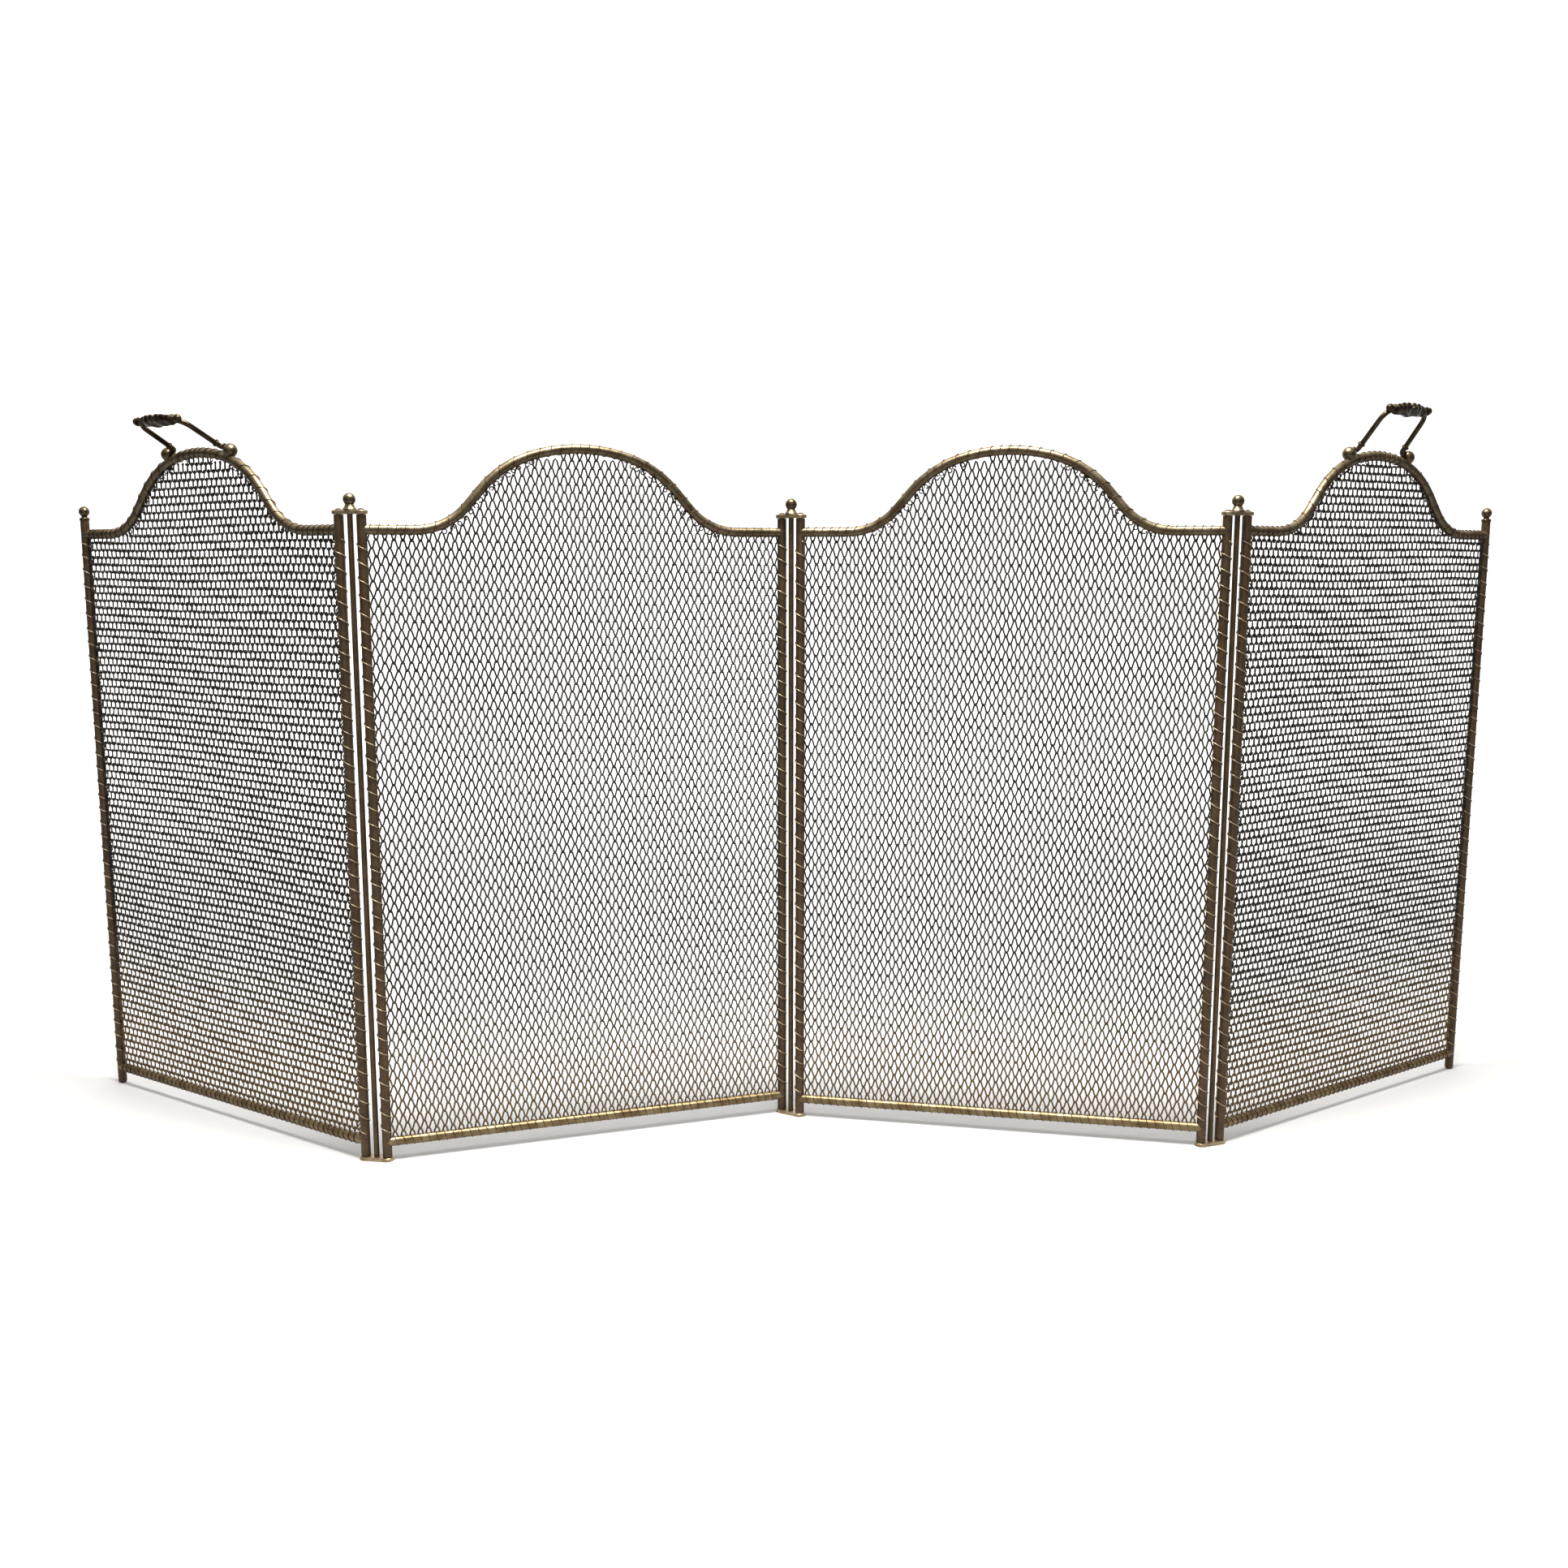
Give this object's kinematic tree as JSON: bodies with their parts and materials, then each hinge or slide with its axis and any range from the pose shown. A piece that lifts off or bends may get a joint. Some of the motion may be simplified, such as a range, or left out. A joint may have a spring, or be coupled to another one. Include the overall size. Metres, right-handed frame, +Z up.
{
  "type": "fireplace screen",
  "caption": "Free-standing folding fire guard with arched woven-mesh panels, hinge posts with ball finials and swivelling bail handles.",
  "frame": {"origin": "centre of the middle post's foot plate, on the floor", "axes": "+Z up, +X along the screen from its left end to its right end, -Y to the room side where the handles lean"},
  "size_m": [1.2963, 0.2612, 0.6249],
  "materials": {
    "stile": "satin",
    "rail": "satin",
    "mesh_wire": "matte",
    "binding_wire": "satin",
    "ball_brass": "satin",
    "plate": "satin",
    "handle": "satin"
  },
  "bodies": {
    "left_outer_panel": {"left_outer_left_stile": "stile", "left_outer_right_stile": "stile", "left_outer_top_rail": "rail", "left_outer_bottom_rail": "rail", "left_outer_mesh": "mesh_wire", "left_outer_binding": "binding_wire", "left_end_finial": "ball_brass", "left_handle_inner_ball": "ball_brass", "left_handle_outer_ball": "ball_brass"},
    "left_inner_panel": {"left_inner_left_stile": "stile", "left_inner_right_stile": "stile", "left_inner_top_rail": "rail", "left_inner_bottom_rail": "rail", "left_inner_mesh": "mesh_wire", "left_inner_binding": "binding_wire"},
    "right_inner_panel": {"right_inner_left_stile": "stile", "right_inner_right_stile": "stile", "right_inner_top_rail": "rail", "right_inner_bottom_rail": "rail", "right_inner_mesh": "mesh_wire", "right_inner_binding": "binding_wire"},
    "right_outer_panel": {"right_outer_left_stile": "stile", "right_outer_right_stile": "stile", "right_outer_top_rail": "rail", "right_outer_bottom_rail": "rail", "right_outer_mesh": "mesh_wire", "right_outer_binding": "binding_wire", "right_end_finial": "ball_brass", "right_handle_inner_ball": "ball_brass", "right_handle_outer_ball": "ball_brass"},
    "left_post": {"left_post_rod": "stile", "left_post_foot_plate": "plate", "left_post_top_plate": "plate", "left_post_finial": "ball_brass"},
    "middle_post": {"middle_post_rod": "stile", "middle_post_foot_plate": "plate", "middle_post_top_plate": "plate", "middle_post_finial": "ball_brass"},
    "right_post": {"right_post_rod": "stile", "right_post_foot_plate": "plate", "right_post_top_plate": "plate", "right_post_finial": "ball_brass"},
    "left_handle": {"left_handle_bail": "handle", "left_handle_grip": "handle", "left_handle_collars": "handle"},
    "right_handle": {"right_handle_bail": "handle", "right_handle_grip": "handle", "right_handle_collars": "handle"}
  },
  "joints": [
    {"name": "left_inner_fold", "type": "hinge", "parent": "middle_post", "child": "left_inner_panel", "pos_m": [-0.00791, 0.00526, 0.265], "axis": [0, 0, 1], "range_deg": [-144.1, 35.9]},
    {"name": "left_post_fold", "type": "hinge", "parent": "left_inner_panel", "child": "left_post", "pos_m": [-0.33575, -0.11732, 0.265], "axis": [0, 0, -1], "range_deg": [-121.2, 58.8]},
    {"name": "left_outer_fold", "type": "hinge", "parent": "left_post", "child": "left_outer_panel", "pos_m": [-0.35442, -0.11379, 0.265], "axis": [0, 0, -1], "range_deg": [-114.9, 65.1]},
    {"name": "right_inner_fold", "type": "hinge", "parent": "middle_post", "child": "right_inner_panel", "pos_m": [0.00791, -0.00526, 0.265], "axis": [0, 0, -1], "range_deg": [-69.1, 110.9]},
    {"name": "right_post_fold", "type": "hinge", "parent": "right_inner_panel", "child": "right_post", "pos_m": [0.34935, -0.0822, 0.265], "axis": [0, 0, 1], "range_deg": [-125.1, 54.9]},
    {"name": "right_outer_fold", "type": "hinge", "parent": "right_post", "child": "right_outer_panel", "pos_m": [0.36692, -0.07496, 0.265], "axis": [0, 0, 1], "range_deg": [-104.2, 75.8]},
    {"name": "left_handle_swing", "type": "hinge", "parent": "left_outer_panel", "child": "left_handle", "pos_m": [-0.49671, -0.01192, 0.58474], "axis": [0.8131, -0.5821, 0], "range_deg": [-161, 39]},
    {"name": "right_handle_swing", "type": "hinge", "parent": "right_outer_panel", "child": "right_handle", "pos_m": [0.50741, 0.02938, 0.58474], "axis": [0.8028, 0.5962, 0], "range_deg": [-138, 62]}
  ]
}
